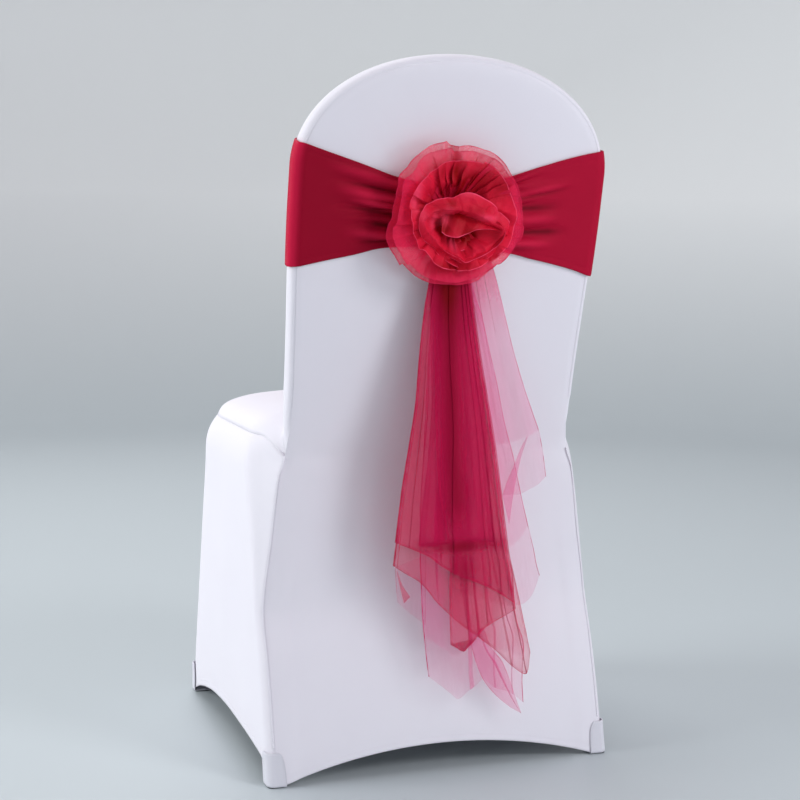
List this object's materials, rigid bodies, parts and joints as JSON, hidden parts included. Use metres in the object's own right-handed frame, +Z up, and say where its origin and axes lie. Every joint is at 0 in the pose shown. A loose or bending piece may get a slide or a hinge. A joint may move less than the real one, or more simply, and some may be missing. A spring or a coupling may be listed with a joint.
{
  "type": "chair cover",
  "caption": "White stretch chair cover with a crimson back sash, an organza rosette and hanging organza tails.",
  "frame": {"origin": "on the floor under the middle of the cover's bounding box", "axes": "+Z up; the covered chair faces -Y, so the rosette and its tails are on the +Y side; +X is a sitter's left"},
  "size_m": [0.4786, 0.5493, 0.9258],
  "materials": {
    "white_stretch_cloth": "smooth matt knitted stretch cloth",
    "white_pocket_cloth": "thicker matt cloth",
    "dark_sole": "matt",
    "crimson_stretch_cloth": "smooth knitted stretch cloth with a soft sheen",
    "red_organza": "sheer crisp organza with a fine sheen"
  },
  "bodies": {
    "root": {"rear_panel": "white_stretch_cloth", "front_panel": "white_stretch_cloth", "back_edge_band": "white_stretch_cloth", "side_panel_left": "white_stretch_cloth", "side_panel_right": "white_stretch_cloth", "foot_pocket_rear_left": "white_pocket_cloth", "foot_pocket_front_left": "white_pocket_cloth", "foot_pocket_rear_right": "white_pocket_cloth", "foot_pocket_front_right": "white_pocket_cloth", "foot_sole_rear_left": "dark_sole", "foot_sole_front_left": "dark_sole", "foot_sole_rear_right": "dark_sole", "foot_sole_front_right": "dark_sole", "sash_band": "crimson_stretch_cloth", "ruffle_back": "red_organza", "ruffle_front": "red_organza", "ruffle_middle": "red_organza", "petal_outer": "red_organza", "petal_inner": "red_organza", "rosette_heart": "red_organza", "tail_upper_right": "red_organza", "tail_right": "red_organza", "tail_core": "red_organza", "tail_low": "red_organza", "tail_second": "red_organza", "tail_fold": "red_organza", "tail_front": "red_organza"}
  },
  "joints": []
}
